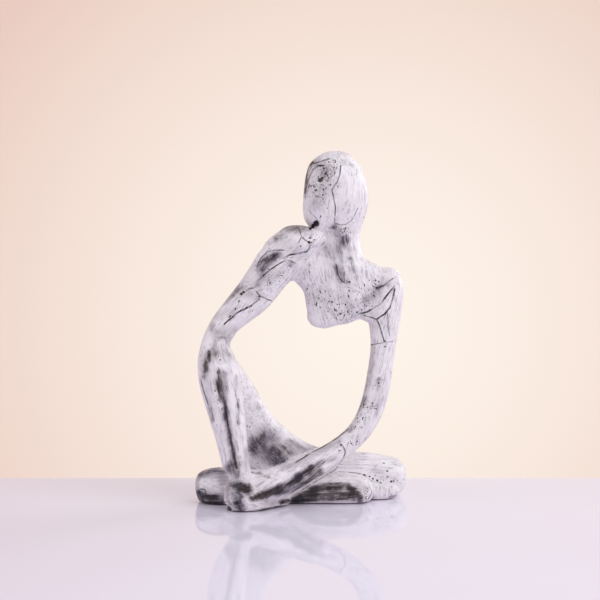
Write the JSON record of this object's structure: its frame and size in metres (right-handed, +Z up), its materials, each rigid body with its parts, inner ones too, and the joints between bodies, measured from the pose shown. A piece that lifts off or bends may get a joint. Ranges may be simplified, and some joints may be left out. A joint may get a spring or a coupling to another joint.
{
  "type": "seated thinker figure",
  "caption": "Slim faceless seated figure resting its chin on a fist, in marbled cast resin; a free-standing shelf ornament and paperweight.",
  "frame": {"origin": "on the surface it stands on, under the middle of its bounding box", "axes": "+Z up, the figure faces -Y, the raised knee is on the -X side"},
  "size_m": [0.1542, 0.0824, 0.2509],
  "materials": {
    "marbled_resin": "stone-filled cast resin, satin, pale lavender white with charcoal wash and veins",
    "steel": "plain drawn steel",
    "felt": "pressed charcoal felt"
  },
  "bodies": {
    "root": {"head": "marbled_resin", "torso": "marbled_resin", "propping_hand": "marbled_resin", "propping_elbow": "marbled_resin", "hanging_upper_arm": "marbled_resin", "hanging_elbow": "marbled_resin", "hanging_forearm": "marbled_resin", "raised_shin": "marbled_resin", "raised_thigh": "marbled_resin", "raised_foot": "marbled_resin", "folded_shin": "marbled_resin", "folded_thigh": "marbled_resin", "limb_dowels": "steel", "body_posts": "steel", "felt_pads": "felt"}
  },
  "joints": []
}
